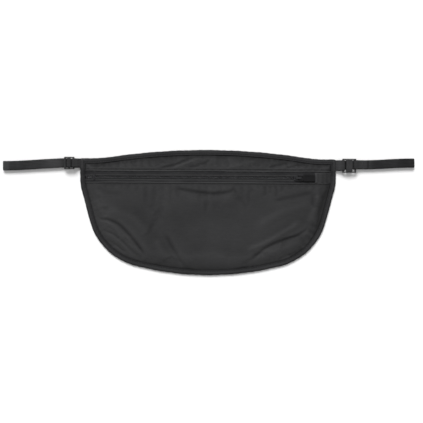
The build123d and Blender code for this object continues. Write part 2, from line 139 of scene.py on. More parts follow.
def inset(points, line, parts=24):
    """How far each point lies from a line of points."""
    near = np.full(len(points), np.inf)
    for part in np.array_split(line, parts):
        near = np.minimum(near, np.linalg.norm(points[:, None] - part[None], axis=2).min(1))
    return near


def ease(x):
    """A smooth step from 0 to 1."""
    x = np.clip(x, 0, 1)
    return x * x * (3 - 2 * x)


def bell(x, middle, width, power=2):
    """A smooth bump of height 1."""
    return np.exp(-((x - middle) / width) ** power)


def strap_rise(y, height=0.0013, start=0.0399, run=0.008):
    """How far the pouch is lifted where it lies over the strap."""
    return height * ease((y - start) / run)


def crease(points, path, width, height, lean, count=60, fading=0.18):
    """A soft fold along a path: a ridge, or a valley where height is negative. lean tips it to one side."""
    line = even(rounded(path), count)
    away = np.linalg.norm(points[:, None] - line[None], axis=2)
    near = away.argmin(1)
    along = np.gradient(line, axis=0)
    along /= np.linalg.norm(along, axis=1)[:, None]
    gap = points - line[near]
    way = np.sign(along[near, 0] * gap[:, 1] - along[near, 1] * gap[:, 0])
    side = way * away[np.arange(len(points)), near]
    share = near / (count - 1)
    fade = ease(share / fading) * ease((1 - share) / fading)
    return fade * bell(side, 0, width) * (height + lean * side / width)


def folded(points, folds, taller, wider=1.0):
    """How far a list of folds, given in millimetres, lifts each point."""
    lift = np.zeros(len(points))
    for path, width, height, lean in folds:
        line = np.array(path) / 1000
        lift += taller * crease(points, line, wider * width / 1000, height / 1000, lean / 1000)
    return lift


folds = (
    # path, width, height, lean, in millimetres
    (((-38, 28), (-20, 24), (0, 21.0), (16, 21.6), (33, 26)), 3.0, -0.42, 0.3),
    (((-30, 16), (0, 12), (34, 17)), 6.0, 0.3, 0.0),
    (((-126, -6), (-108, -8), (-97, -13), (-88, -22), (-78, -33), (-66, -50)), 2.6, -0.55, 0.45),
    (((-112, 2), (-90, -3), (-76, -12), (-64, -30)), 6.0, 0.35, 0.0),
    (((-118, -19), (-104, -23), (-94, -31), (-84, -41), (-73, -50)), 2.4, -0.32, 0.25),
    (((-112, -30), (-100, -36), (-88, -46)), 2.2, -0.22, 0.15),
    (((-48, -24), (-40, -38), (-33, -50), (-28, -60)), 2.8, -0.34, -0.25),
    (((-58, -30), (-50, -44), (-46, -56)), 4.5, 0.3, 0.0),
    (((130.5, 25), (128, 14), (125, 2), (121.6, -11), (117.6, -25), (111, -36)), 1.7, -0.85, -0.2),
    (((122, 22), (118, 4), (113, -14)), 4.5, 0.5, 0.0),
    (((40, -42), (62, -34), (82, -22), (104, -8)), 4.0, 0.5, -0.25),
    (((44, -56), (58, -42), (70, -34), (88, -28), (103, -22.5), (113, -13)), 2.6, -0.5, 0.35),
    (((56, -54), (76, -42), (106, -31)), 4.5, 0.35, 0.0),
    (((120, 22), (98, 17), (70, 11)), 3.6, -0.3, 0.25),
    (((118, 12), (96, 6), (72, -4), (52, -18)), 6.0, 0.4, 0.0),
    (((76, -52), (88, -47.5), (99, -43), (112, -37)), 2.0, -0.5, 0.3),
    (((62, 31), (63.5, 25), (63, 17)), 1.9, -0.28, 0.1),
    (((68, 31), (69, 26), (68, 20)), 1.8, -0.22, 0.1),
    (((74, 31), (76, 25), (75, 16)), 1.9, -0.28, 0.1),
    (((81, 31), (82, 27), (81, 22)), 1.8, -0.2, 0.1),
    (((-130, 30), (-112, 22), (-92, 19)), 3.2, -0.12, 0.1),
    (((-133, 26), (-122, 10), (-116, -4)), 3.0, 0.25, 0.0),
    (((-100, 4), (-40, -6), (20, -4), (60, -10)), 12.0, -0.3, 0.0),
    (((-20, -50), (0, -46), (24, -50)), 6.0, 0.25, 0.0),
)
inner, outer = seam_line(False), seam_line(True)
cloth_edge = inner + 0.42 * (outer - inner)


def front_height(points, seam_z=0.0021, slack_z=0.0056, slope=0.0145, fullness=2.3):
    """Upper face of the front, which swells up from the seam to the flat, slack middle."""
    seam = seam_z + strap_rise(points[:, 1])
    middle = slack_z - 0.0005 * ease((points[:, 1] - 0.046) / 0.010)
    swell = 1 - (1 - np.clip((inset(points, outer) - binding_width) / slope, 0, 1)) ** fullness
    return seam + (middle - seam) * swell


def caught(points, height, rim_z=0.0019, reach=0.0004):
    """The same heights, with the rim brought down to where the binding holds it."""
    return np.where(inset(points, cloth_edge) < reach, rim_z + strap_rise(points[:, 1]), height)


def held_points(wide, high, rows):
    """The numbers of a grid's points at both ends and in some of its rows."""
    return [k for k in range(wide * high) if k % high in rows or not 2 * high <= k < (wide - 2) * high]


def puckers(points, line, pitch, depth, reach, skip=4):
    """Small waves that the sewing draws into the cloth along a seam."""
    away = np.linalg.norm(points[:, None] - line[None, ::skip], axis=2)
    near = away.argmin(1) * skip
    run = near / len(line) * seam_length
    beat = np.sin(2 * np.pi * run / pitch + 2.1 * np.sin(run * 61)) * (0.6 + 0.4 * np.sin(run * 37 + 1))
    return depth * beat * np.exp(-away.min(1) / reach)


def gathers(points, groove, depth, pitch, sway, phase, reach):
    """Small waves along a hem, which die out away from its stitched groove."""
    x, (strength, beat) = points[:, 0], sway
    wave = np.sin(x * 2 * np.pi / pitch + strength * np.sin(x * beat + phase))
    return depth * wave * np.exp(-np.abs(points[:, 1] - groove) / reach)


def cloth_piece(name, grid, ring=0, tube=0):
    """A smooth mesh from a grid of points. ring joins its two ends, and tube its two long edges."""
    wide, high = grid.shape[:2]
    faces = []
    for i in range(wide - 1 + ring):
        for j in range(high - 1 + tube):
            here, there, up = i * high, (i + 1) % wide * high, (j + 1) % high
            faces.append((here + j, there + j, there + up, here + up))
    if tube and not ring:
        faces += [tuple(range(high)), tuple((wide - 1) * high + j for j in reversed(range(high)))]
    mesh = bpy.data.meshes.new(name)
    mesh.from_pydata(grid.reshape(-1, 3).tolist(), [], faces)
    mesh.polygons.foreach_set("use_smooth", [len(face) == 4 for face in faces])
    obj = bpy.data.objects.new(name, mesh)
    bpy.context.scene.collection.objects.link(obj)
    return obj


def raised(name, grid, height):
    """A mesh from a flat grid and the height of each of its points."""
    return cloth_piece(name, np.dstack([grid, height.reshape(grid.shape[:2])]))


def settled(cloth, shape, held, slack, reach, frames=20):
    """A cloth's grid once it has relaxed into its slack. Held points stay, and none goes beyond reach."""
    scene, before = bpy.context.scene, points_of(cloth)
    cloth.vertex_groups.new(name="held").add(held, 1.0, "REPLACE")
    loose = cloth.modifiers.new("cloth", "CLOTH")
    rule = loose.settings
    rule.vertex_group_mass = "held"
    rule.quality = 6
    rule.mass = 0.03
    rule.tension_stiffness = 12
    rule.compression_stiffness = 12
    rule.shear_stiffness = 4
    rule.bending_stiffness = 0.35
    rule.shrink_min = -slack
    rule.use_pressure = True
    rule.uniform_pressure_force = 0.4
    rule.effector_weights.gravity = 0
    loose.collision_settings.use_collision = False
    scene.frame_start, scene.frame_end = 1, frames
    loose.point_cache.frame_start, loose.point_cache.frame_end = 1, frames
    for step in range(1, frames + 1):
        scene.frame_set(step)
    move = points_of(cloth.evaluated_get(bpy.context.evaluated_depsgraph_get())) - before
    scene.frame_set(1)
    far = np.linalg.norm(move, axis=1)
    move *= np.minimum(1, reach / np.maximum(far, 1e-9))[:, None]
    cloth.data.vertices.foreach_set("co", (before + move).ravel())
    body = points_of(cloth).reshape(*shape, 3)
    bpy.data.objects.remove(cloth)
    return body


def finer(grid):
    """A grid with a smoothly placed point between every two."""
    for axis in (0, 1):
        rows = np.moveaxis(grid, axis, 0)
        wide = np.concatenate([2 * rows[:1] - rows[1:2], rows, 2 * rows[-1:] - rows[-2:-1]])
        between = (9 * (wide[1:-2] + wide[2:-1]) - wide[:-3] - wide[3:]) / 16
        made = np.empty((2 * len(rows) - 1, *rows.shape[1:]))
        made[::2], made[1::2] = rows, between
        grid = np.moveaxis(made, 0, axis)
    return grid


def made_solid(obj, thick, rounds=1):
    """Round the cloth off, give it its thickness downwards and leave a plain mesh."""
    if rounds:
        soft = obj.modifiers.new("soft", "SUBSURF")
        soft.levels = soft.render_levels = rounds
    wall = obj.modifiers.new("wall", "SOLIDIFY")
    wall.thickness, wall.offset = thick, -1
    made = bpy.data.meshes.new_from_object(obj.evaluated_get(bpy.context.evaluated_depsgraph_get()))
    obj.modifiers.clear()
    obj.data = made
    return obj


def node(tree, kind, inputs=None, **settings):
    """A node with its settings, and its inputs as values or as links from other nodes."""
    made = tree.nodes.new(kind)
    for key, value in settings.items():
        setattr(made, key, value)
    for key, value in (inputs or {}).items():
        if isinstance(value, bpy.types.NodeSocket):
            tree.links.new(value, made.inputs[key])
        else:
            made.inputs[key].default_value = value
    return made


def effect(name, sizes, masks):
    """An empty node group for materials: a Vector and some sizes go in, and some masks come out."""
    group = bpy.data.node_groups.new(name, "ShaderNodeTree")
    group.interface.new_socket("Vector", in_out="INPUT", socket_type="NodeSocketVector")
    for title, value in sizes.items():
        socket = group.interface.new_socket(title, in_out="INPUT", socket_type="NodeSocketFloat")
        socket.default_value = value
    for title in masks:
        group.interface.new_socket(title, in_out="OUTPUT", socket_type="NodeSocketFloat")
    return group, group.nodes.new("NodeGroupInput").outputs, group.nodes.new("NodeGroupOutput").inputs


def calc(tree, kind, a, b=0.0, c=0.0):
    """One step of arithmetic on values or links."""
    return node(tree, "ShaderNodeMath", {0: a, 1: b, 2: c}, operation=kind).outputs[0]


def scaled(tree, value, by, plus=0.0):
    """A value multiplied by another, with a third added."""
    return calc(tree, "MULTIPLY_ADD", value, by, plus)


# Plain weave: threads that pass over and under each other, with the gaps between them
threads = ("Threads per Metre X", "Threads per Metre Y")
weave, given, gives = effect(
    "plain weave", {threads[0]: 2200.0, threads[1]: 2200.0, "Slub": 0.25}, ("Height", "Gaps", "Slub")
)
parts = node(weave, "ShaderNodeSeparateXYZ", {0: given["Vector"]}).outputs
across, along = (
    calc(weave, "SINE", scaled(weave, scaled(weave, parts[k], given[threads[k]]), math.pi)) for k in (0, 1)
)
over = calc(weave, "GREATER_THAN", scaled(weave, across, along), 0.0)
lifted = {0: over, 2: calc(weave, "ABSOLUTE", across), 3: calc(weave, "ABSOLUTE", along)}
crown = node(weave, "ShaderNodeMix", lifted).outputs[0]
streaks = node(weave, "ShaderNodeMapping", {"Vector": given["Vector"], "Scale": (0.12, 1.0, 1.0)}).outputs[0]
slub = node(weave, "ShaderNodeTexNoise", {"Vector": streaks, "Scale": 900.0, "Detail": 3.0, "Roughness": 0.6})
slub = slub.outputs["Fac"]
weave.links.new(scaled(weave, slub, given["Slub"], crown), gives["Height"])
weave.links.new(calc(weave, "LESS_THAN", crown, 0.3), gives["Gaps"])
weave.links.new(slub, gives["Slub"])

# Uneven dye and handling marks: a broad mottle, and a finer one for the roughness
mottle, given, gives = effect("mottle", {"Broad": 22.0, "Fine": 420.0}, ("Broad", "Fine"))
for title, detail in (("Broad", 3.0), ("Fine", 5.0)):
    sizes = {"Vector": given["Vector"], "Scale": given[title], "Detail": detail, "Roughness": 0.55}
    cloud = node(mottle, "ShaderNodeTexNoise", sizes).outputs["Fac"]
    ramp = node(mottle, "ShaderNodeMapRange", {"Value": cloud, "From Min": 0.3, "From Max": 0.7}, clamp=True)
    mottle.links.new(ramp.outputs["Result"], gives[title])


def woven(tree, place, x, y, slub=0.25):
    """The weave's masks, for so many threads to the metre each way."""
    sizes = {"Vector": place, threads[0]: x, threads[1]: y, "Slub": slub}
    return node(tree, "ShaderNodeGroup", sizes, node_tree=weave).outputs


def clouded(tree, place, broad=22, fine=420):
    """The mottle's masks."""
    sizes = {"Vector": place, "Broad": broad, "Fine": fine}
    return node(tree, "ShaderNodeGroup", sizes, node_tree=mottle).outputs


def shade_and_wear_of(tree):
    """How much painted light and shade, with some wear, each point carries, as kept on the mesh."""
    return node(tree, "ShaderNodeAttribute", attribute_name="shade_and_wear").outputs["Fac"]


def own_place(tree):
    """Where each point lies on the object."""
    return node(tree, "ShaderNodeTexCoord").outputs["Object"]


def material(name, rough=0.8, metal=0.0, **fixed):
    """A material with a Principled shader, whose all-over values are set on its own sockets."""
    made = bpy.data.materials.new(name)
    made.use_nodes = True
    tree = made.node_tree
    skin = tree.nodes["Principled BSDF"]
    skin.inputs["Roughness"].default_value = rough
    skin.inputs["Metallic"].default_value = metal
    for key, value in fixed.items():
        skin.inputs[key.replace("_", " ")].default_value = value
    return made, tree, skin


def dyed(tree, dark, light, share):
    """A colour between two others, each given as a colour or as a link."""
    dark, light = ((*colour, 1) if isinstance(colour, tuple) else colour for colour in (dark, light))
    return node(tree, "ShaderNodeMix", {0: share, 6: dark, 7: light}, data_type="RGBA").outputs[2]


def bump(tree, height, distance, strength, below=None):
    """Relief from a height, laid over another relief where one is given."""
    inputs = {"Height": height, "Distance": distance, "Strength": strength}
    if below is not None:
        inputs["Normal"] = below
    return node(tree, "ShaderNodeBump", inputs).outputs[0]


def skin_with(tree, skin, colour, rough, relief):
    """Link a material's colour, roughness and relief to its shader."""
    for socket, link in (("Base Color", colour), ("Roughness", rough), ("Normal", relief)):
        tree.links.new(link, skin.inputs[socket])


nylon, tree, skin = material(
    "dark woven nylon", 0.72, Specular_IOR_Level=0.14, Sheen_Weight=0.07, Sheen_Roughness=0.45
)
deep_shade = (0.0015, 0.0015, 0.0017)
place = own_place(tree)
cloth, wash, shade_and_wear = woven(tree, place, 2100, 1900), clouded(tree, place), shade_and_wear_of(tree)
tone = scaled(tree, wash["Broad"], 0.35, scaled(tree, cloth["Slub"], 0.5, -0.05))
# The kept painted light and shade, with wear, lighten the cloth on ridges and hem edges, and below nought mix
# it towards deep_shade, a painted shade in folds, grooves and beside the binding.
tone = calc(tree, "ADD", tone, shade_and_wear)
colour = dyed(tree, (0.0180, 0.0180, 0.0187), (0.0375, 0.0375, 0.0385), tone)
colour = dyed(tree, colour, deep_shade, scaled(tree, shade_and_wear, -1.0, -0.25))
colour = dyed(tree, colour, (0.008, 0.008, 0.009), scaled(tree, cloth["Gaps"], 0.35))
relief = bump(tree, cloth["Height"], 0.00006, 0.7)
skin_with(tree, skin, colour, scaled(tree, wash["Fine"], 0.14, 0.66), relief)


def keep_shade_and_wear(obj, amount):
    """Keep each point's painted light and shade, with some wear, for the material: above nought paler, below
    nought towards a painted deep shade.
    """
    layer = obj.data.attributes.new("shade_and_wear", "FLOAT", "POINT")
    layer.data.foreach_set("value", amount.astype(np.float32))


def dress(obj, finish, body, nodes):
    """Give a piece its material, its body and the CAD nodes that it stands for."""
    obj.data.materials.clear()
    obj.data.materials.append(finish)
    if body:
        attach(obj, body)
    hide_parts(*nodes)


cloth_thick = 0.0005
hem_low, groove_low = 0.0334, 0.0314
hem_high, groove_high = 0.0450, 0.0471
wide, high = 142, 54
grid = half_moon(cloth_edge, groove_low - 0.0006, wide, high)
flat = grid.reshape(-1, 2)
inside = ease(inset(flat, inner) / 0.007)
lift = folded(flat, folds, 0.5) * (inside * ease((groove_low - flat[:, 1]) / 0.006 + 0.25))
lift += puckers(flat, inner, 0.0066, 0.00015, 0.006)
lift += 0.00012 * np.sin(flat[:, 0] * 62 + 1.3) * np.sin(flat[:, 1] * 88 + 0.4) * inside
height = front_height(flat) + lift + gathers(flat, groove_low, 0.00009, 0.0083, (1.9, 47), 0, 0.006)
held = held_points(wide, high, (0, high - 2, high - 1))
front_panel = raised("front_panel_cloth", grid, caught(flat, height))
body = settled(front_panel, (wide, high), held, slack=0.005, reach=0.0003)


def low_wander(x):
    """How far the lower hem's stitched groove strays."""
    return 0.00022 * np.sin(x * 55) + 0.00012 * np.sin(x * 171 + 1)


def hem_rows(edge, groove, way, wander, pitch, phase):
    """Rows of points that fold an edge under beyond its stitched groove, as (out, up) steps."""
    rows, x = [], edge[:, 0, 0]
    for out, up in (
        (0.0, -0.00034), (0.0004, -0.00012), (0.0009, 0.00012), (0.0014, 0.00018),
        (0.00185, 0.0001), (0.0020, -0.0002), (0.00195, -0.0006),
    ):
        row = edge.copy()
        row[:, 0, 1] = groove + way * out + wander(x)
        row[:, 0, 2] = front_height(row[:, 0, :2]) + up + 0.00012 * np.sin(x * 2 * np.pi / pitch + phase)
        rows.append(row)
    return rows


body = finer(np.concatenate([body, *hem_rows(body[:, -1:], groove_low, 1, low_wander, 0.0075, 0)], 1))
flat = body[:, :, :2].reshape(-1, 2)
lift = folded(flat, folds, 1.3, 0.85)
lift *= ease(inset(flat, inner) / 0.005) * ease((groove_low - 0.0008 - flat[:, 1]) / 0.004)
body[:, :, 2] += lift.reshape(body.shape[:2])
front_panel = made_solid(cloth_piece("front_panel_cloth", body), cloth_thick, 0)


def cloth_shade_and_wear(grid, groove, hem, window=9):
    """Painted light and shade, with some rubbing: ridges paler, a painted highlight on the hem's folded edge,
    and painted shade in folds, the hem's groove and beside the binding.
    """
    high = grid[:, :, 2]
    level = high.copy()
    for axis in (0, 1, 0, 1, 0, 1):
        count = level.shape[axis]
        beyond = [(window // 2 + 1, window // 2) if k == axis else (0, 0) for k in (0, 1)]
        total = np.cumsum(np.pad(level, beyond, mode="edge"), axis=axis)
        total = np.concatenate([np.zeros_like(np.take(total, [0], axis)), total], axis)
        ahead = np.take(total, range(window, window + count), axis)
        level = (ahead - np.take(total, range(count), axis)) / window
    # Ridges above the smoothed level come out paler and valleys darker: painted light and shade, with some
    # rubbing on the ridges.
    amount = np.clip((high - level).ravel() / 0.0015, -0.4, 0.25)
    points = grid.reshape(-1, 3)
    # Painted shade in the hem's stitched groove, and a painted highlight along the hem's folded edge.
    amount -= 0.6 * bell(points[:, 1], groove, 0.0007)
    amount += 0.6 * bell(points[:, 1], hem, 0.0007)
    # Painted shade on the cloth just beside the binding, and a wider band of painted shade along the binding
    # at the top.
    beside = np.clip(inset(points[:, :2], outer) - binding_width, 0, 1)
    upper = 0.3 * ease((points[:, 1] - 0.045) / 0.006)
    amount -= 0.8 * bell(beside, 0, 0.0010) + upper * bell(beside, 0, 0.0042, 4)
    return np.tile(amount, 2)


keep_shade_and_wear(front_panel, cloth_shade_and_wear(body, groove_low, hem_low))
dress(front_panel, nylon, "root", ["front_panel"])

# ---- Yoke --------------------------------------------------------------------------------------
# The narrow piece of the same nylon above the zip. Its bowed upper edge goes into the binding, and
# its lower edge is folded under and stitched to the upper zip tape.

edge = side_of(cloth_edge, groove_high + 0.0006, False)
left, right = corner(edge, -1, 1), corner(edge, 1, 1)
wide, high = 170, 14
grid = patch(
    even(np.array([edge[0], edge[-1]]), wide), even(edge[left:right + 1], wide),
    even(edge[:left + 1], high), even(edge[right:][::-1], high),
)
flat = grid.reshape(-1, 2)
yoke_folds = (
    (((-56, 48), (-44, 50.5), (-33, 54), (-22, 59), (-12, 62)), 2.2, -0.5, 0.4),
    (((-40, 48), (-28, 52), (-14, 58), (-4, 61)), 2.2, 0.35, 0.0),
    (((-26, 48), (-12, 52), (4, 58)), 2.4, -0.4, 0.3),
    (((66, 49), (77, 53), (90, 56)), 2.2, -0.45, 0.3),
    (((84, 49), (96, 52), (108, 55)), 2.0, -0.3, 0.2),
    (((-128, 49), (-116, 53), (-100, 57)), 2.0, -0.35, 0.25),
    (((20, 49), (38, 53), (60, 59)), 3.0, 0.25, 0.0),
)
inside = ease(inset(flat, outer) / 0.009 - 0.5)
lift = folded(flat, yoke_folds, 1.25) * (inside * ease((flat[:, 1] - groove_high) / 0.004 + 0.25))
lift += puckers(flat, inner, 0.0060, 0.00012, 0.005)
height = front_height(flat) + lift + gathers(flat, groove_high, 0.00007, 0.0079, (1.7, 53), 1, 0.005)
yoke = raised("yoke_cloth", grid, caught(flat, height))
body = settled(yoke, (wide, high), held_points(wide, high, (0, 1, high - 1)), slack=0.006, reach=0.0002)


def high_wander(x):
    """How far the upper hem's stitched groove strays."""
    return 0.00020 * np.sin(x * 49 + 2) + 0.00012 * np.sin(x * 183)


hem = hem_rows(body[:, :1], groove_high, -1, high_wander, 0.0081, 1)
body = finer(np.concatenate([*hem[::-1], body], 1))
yoke = made_solid(cloth_piece("yoke_cloth", body), cloth_thick, 0)
keep_shade_and_wear(yoke, cloth_shade_and_wear(body, groove_high, hem_high + 0.0005))
dress(yoke, nylon, "root", ["yoke_panel"])

# ---- Back of the pouch -------------------------------------------------------------------------
# One whole piece of the same nylon that lies on the table and steps up over the strap behind it,
# with the pocket's two linings of thin taffeta inside, all cut to the pouch's outline.

lining, tree, skin = material("grey taffeta lining", 0.55, Specular_IOR_Level=0.35)
place = own_place(tree)
cloth, wash = woven(tree, place, 3600, 3200, 0.5), clouded(tree, place)
tone = scaled(tree, wash["Broad"], 0.4, scaled(tree, cloth["Slub"], 0.6))
colour = dyed(tree, (0.27, 0.28, 0.29), (0.36, 0.37, 0.39), tone)
relief = bump(tree, cloth["Height"], 0.00003, 0.5)
skin_with(tree, skin, colour, scaled(tree, wash["Fine"], 0.2, 0.45), relief)


def whole_patch(line, wide, high):
    """A grid that fills a closed line."""
    line = np.roll(line, -corner(line, -1, -1), axis=0)
    right, top_right, top_left = corner(line, 1, -1), corner(line, 1, 1), corner(line, -1, 1)
    return patch(
        even(line[:right + 1], wide), even(line[top_right:top_left + 1][::-1], wide),
        even(np.concatenate([line[top_left:], line[:1]])[::-1], high), even(line[right:top_right + 1], high),
    )


grid = whole_patch(cloth_edge, 130, 70)
flat = grid.reshape(-1, 2)
slack = ease((inset(flat, outer) - 0.006) / 0.012)
ripple = 1 + np.sin(flat[:, 0] * 71) * np.sin(flat[:, 1] * 97 + 1)
height = 0.00052 + strap_rise(flat[:, 1]) + slack * 0.00028 * ripple
height += slack * 0.0002 * (1 + np.sin(flat[:, 0] * 23 - flat[:, 1] * 41))
back = made_solid(raised("back_cloth", grid, height), 0.00048)
dress(back, nylon, "root", ["back_panel"])
keep_shade_and_wear(back, np.zeros(len(back.data.vertices)))

lining_share = -0.024
lining_edge = inner + (inner - np.array(pouch_middle)) * lining_share
grid = whole_patch(lining_edge, 90, 48)
flat = grid.reshape(-1, 2)
height = 0.00155 + strap_rise(flat[:, 1]) + 0.0001 * np.sin(flat[:, 0] * 84) * np.sin(flat[:, 1] * 72)
back_lining = made_solid(raised("back_lining_cloth", grid, height), 0.0002)
dress(back_lining, lining, "root", ["back_lining"])

underside = surface_of(front_panel)
grid = half_moon(lining_edge, 0.0252, 90, 36)
up = Vector((0, 0, 1))
height = np.array([underside.ray_cast(Vector((*p, 0.0)), up)[0][2] for p in grid.reshape(-1, 2)]) - 0.0003
front_lining = made_solid(raised("front_lining_cloth", grid, height), 0.0002)
dress(front_lining, lining, "root", ["front_lining"])

# ---- Edge binding ------------------------------------------------------------------------------
# A ribbed tape folded in half over the raw edges of the front and the back, all the way round, and
# sewn through with one row of stitches that draws a groove along it.

grosgrain, tree, skin = material("ribbed binding tape", 0.8, Specular_IOR_Level=0.14, Sheen_Weight=0.05)
coat = node(tree, "ShaderNodeUVMap", uv_map="along").outputs[0]
cloth, wash, shade_and_wear = woven(tree, coat, 1500, 3000), clouded(tree, own_place(tree)), shade_and_wear_of(tree)
run = node(tree, "ShaderNodeSeparateXYZ", {0: coat}).outputs[0]
rib = calc(tree, "SINE", scaled(tree, run, 2 * math.pi / 0.0011))
# The kept painted light and shade lighten the tape, and below nought darken it towards deep_shade, a painted
# shade in its groove and along its edges.
tone = scaled(tree, cloth["Slub"], 0.3, scaled(tree, wash["Broad"], 0.3, shade_and_wear))
colour = dyed(tree, (0.0155, 0.0155, 0.0165), (0.036, 0.036, 0.037), tone)
colour = dyed(tree, colour, deep_shade, scaled(tree, shade_and_wear, -1.0, -0.25))
colour = dyed(tree, colour, (0.005, 0.005, 0.006), scaled(tree, rib, -0.12, 0.14))
relief = bump(tree, cloth["Height"], 0.00004, 0.5, bump(tree, rib, 0.00006, 0.6))
skin_with(tree, skin, colour, scaled(tree, wash["Fine"], 0.15, 0.72), relief)

count, stitch_share = 1000, 0.24
rim = even(np.concatenate([outer, outer[:1]]), count + 1)[:-1]
loop = np.concatenate([inner, inner[:1]])
step = loop[1:] - loop[:-1]
lip = []
for place in rim:
    share = np.clip(((place - loop[:-1]) * step).sum(1) / np.maximum((step ** 2).sum(1), 1e-12), 0, 1)
    close = loop[:-1] + share[:, None] * step
    lip.append(close[np.linalg.norm(close - place, axis=1).argmin()])
lip = np.array(lip)
run = np.arange(count) / count * seam_length
profile = (
    # share of the way out, height in millimetres, painted light and shade
    (0.03, 2.00, -1.0), (-0.02, 2.30, -0.8), (0.02, 2.62, -0.5), (0.10, 2.72, 0.0), (0.18, 2.50, -0.3),
    (0.24, 2.40, -0.6), (0.30, 2.50, -0.3), (0.40, 2.70, 0.1), (0.58, 2.74, 0.2), (0.76, 2.66, 0.0),
    (0.90, 2.38, -0.15), (0.985, 1.80, -0.4), (1.0, 1.25, -0.3), (0.975, 0.62, -0.1), (0.90, 0.20, 0.1),
    (0.74, 0.03, 0.1), (0.5, 0.0, 0.1), (0.32, 0.04, 0.0), (0.24, 0.14, -0.3), (0.16, 0.04, 0.0),
    (0.06, 0.0, 0.2), (-0.01, 0.2, 0.0), (0.02, 0.48, -0.3), (0.30, 0.50, -0.3), (0.70, 0.52, -0.3),
    (0.86, 0.75, -0.3), (0.90, 1.25, -0.3), (0.86, 1.75, -0.3), (0.70, 1.98, -0.3), (0.30, 2.00, -0.3),
)
# The third column paints shade and light on the binding: darkest where it meets the panel, in its stitched
# groove and round its outer side, and a little paler along its crown.
rings, rubbed = [], []
for share, up, shade_share in profile:
    pull = bell(share, stitch_share, 0.12) * (0.5 + 0.5 * np.cos(2 * np.pi * run / 0.0027))
    stray = (0.00010 * np.sin(run * 210) + 0.00008 * np.sin(run * 743 + 1))[:, None]
    ring = lip + share * (rim - lip)
    ring = ring + (rim - lip) / binding_width * stray * share
    wave = 0.00005 * np.sin(run * 2 * np.pi / 0.0051 + np.sin(run * 90)) - 0.00010 * pull
    top = strap_rise(ring[:, 1]) + up / 1000 + wave * (up > 2.1)
    rings.append(np.concatenate([ring, top[:, None]], 1))
    rubbed.append(np.full(count, shade_share) + 0.08 * np.sin(run * 97))
grid = np.stack(rings[::-1], 1)
high = len(profile)
binding_tape = cloth_piece("edge_binding_tape", grid, 1, 1)


def unrolled(obj, spots):
    """Keep where each corner lies on the flat tape, for the material, and turn the faces outwards."""
    obj.data.uv_layers.new(name="along").data.foreach_set("uv", np.array(spots, float).ravel())
    made = bmesh.new()
    made.from_mesh(obj.data)
    bmesh.ops.recalc_face_normals(made, faces=made.faces)
    made.to_mesh(obj.data)
    made.free()


girth = np.concatenate([[0], np.cumsum(np.linalg.norm(np.diff(grid[0], axis=0), axis=1))])
girth = np.append(girth, girth[-1] + 0.0005)
spots = np.zeros((len(binding_tape.data.loops), 2))
for face in binding_tape.data.polygons:
    first, row = divmod(face.index, high)
    for spot in face.loop_indices:
        i, j = divmod(binding_tape.data.loops[spot].vertex_index, high)
        i += count * (i == 0 and first == count - 1)
        j += high * (j == 0 and row == high - 1)
        spots[spot] = seam_length * i / count, girth[j]
unrolled(binding_tape, spots)
keep_shade_and_wear(binding_tape, np.stack(rubbed[::-1], 1).ravel())
dress(binding_tape, grosgrain, "root", ["edge_binding"])

# ---- Zip tapes ---------------------------------------------------------------------------------
# Two strips of twill tape sewn under the hems. Their inner edges turn down beside the coils, and
# their ends run on into the side seams under the binding.

twill, tree, skin = material("twill zip tape", 0.75, Specular_IOR_Level=0.14)
place = own_place(tree)
slant = {"Vector": place, "Rotation": (0, 0, math.radians(38))}
cloth = woven(tree, node(tree, "ShaderNodeMapping", slant).outputs[0], 2600, 900)
wash, shade_and_wear = clouded(tree, place), shade_and_wear_of(tree)
tone = scaled(tree, cloth["Height"], 0.3, scaled(tree, wash["Broad"], 0.4, shade_and_wear))
colour = dyed(tree, (0.011, 0.011, 0.012), (0.034, 0.034, 0.035), tone)
# Painted shade: below nought the tape sinks towards a near-black, where its inner edges turn down beside the
# coil.
colour = dyed(tree, colour, (0.0012, 0.0012, 0.0014), scaled(tree, shade_and_wear, -1.0, -0.3))
relief = bump(tree, cloth["Height"], 0.00008, 0.8)
skin_with(tree, skin, colour, scaled(tree, wash["Fine"], 0.12, 0.7), relief)

zip_y, stitch_out = 0.0385, 0.0019
tape_rows = (
    # distance from the middle of the zip, and how far the row lies below the top
    (0.00098, 0.00095), (0.00088, 0.00045), (0.00104, 0.00015), (0.0013, 0.00002), (0.0016, 0.00003),
    (stitch_out, 0.00008), (0.0023, 0.0), (0.0036, 0.0), (0.0052, 0.0), (0.0070, 0.0),
    (0.0092, 0.00015), (0.0118, 0.0003),
)
tapes = []
for name, side in (("zip_tape_upper", 1), ("zip_tape_lower", -1)):
    rows = []
    x = np.linspace(-0.1372, 0.1372, 240)
    for out, down in tape_rows:
        y = zip_y + side * out + 0.00008 * np.sin(x * 67) * (out > 0.0012)
        flat = np.stack([x, np.full_like(x, zip_y + side * out)], 1)
        z = np.minimum(front_height(flat) - 0.0004, 0.00535) - down
        wave = 0.00012 * np.sin(x * 2 * np.pi / 0.0077 + np.sin(x * 61)) * (out > 0.003)
        z -= wave + 0.00006 * (1 + np.sin(x * 2 * np.pi / 0.0011)) * (out == stitch_out)
        rows.append(np.stack([x, y, z], 1))
    tape = made_solid(cloth_piece(name + "_twill", np.stack(rows if side > 0 else rows[::-1], 1)), 0.00042)
    tapes.append(tape)
    points = points_of(tape)
    away = np.abs(points[:, 1] - zip_y)
    uneven = 0.18 + 0.14 * np.sin(points[:, 0] * 131) * np.sin(points[:, 0] * 57 + 1)
    # Painted light and shade: a paler line over the coil's ridge and painted shade on the turned-down inner
    # edge; further out the tape is darker by a varying amount.
    edge_light_and_shade = 0.5 * bell(away, 0.0024, 0.0006) - 1.5 * bell(away, 0.0012, 0.0006)
    keep_shade_and_wear(tape, edge_light_and_shade - uneven * ease((away - 0.0027) / 0.0006))
    dress(tape, twill, "root", [name])

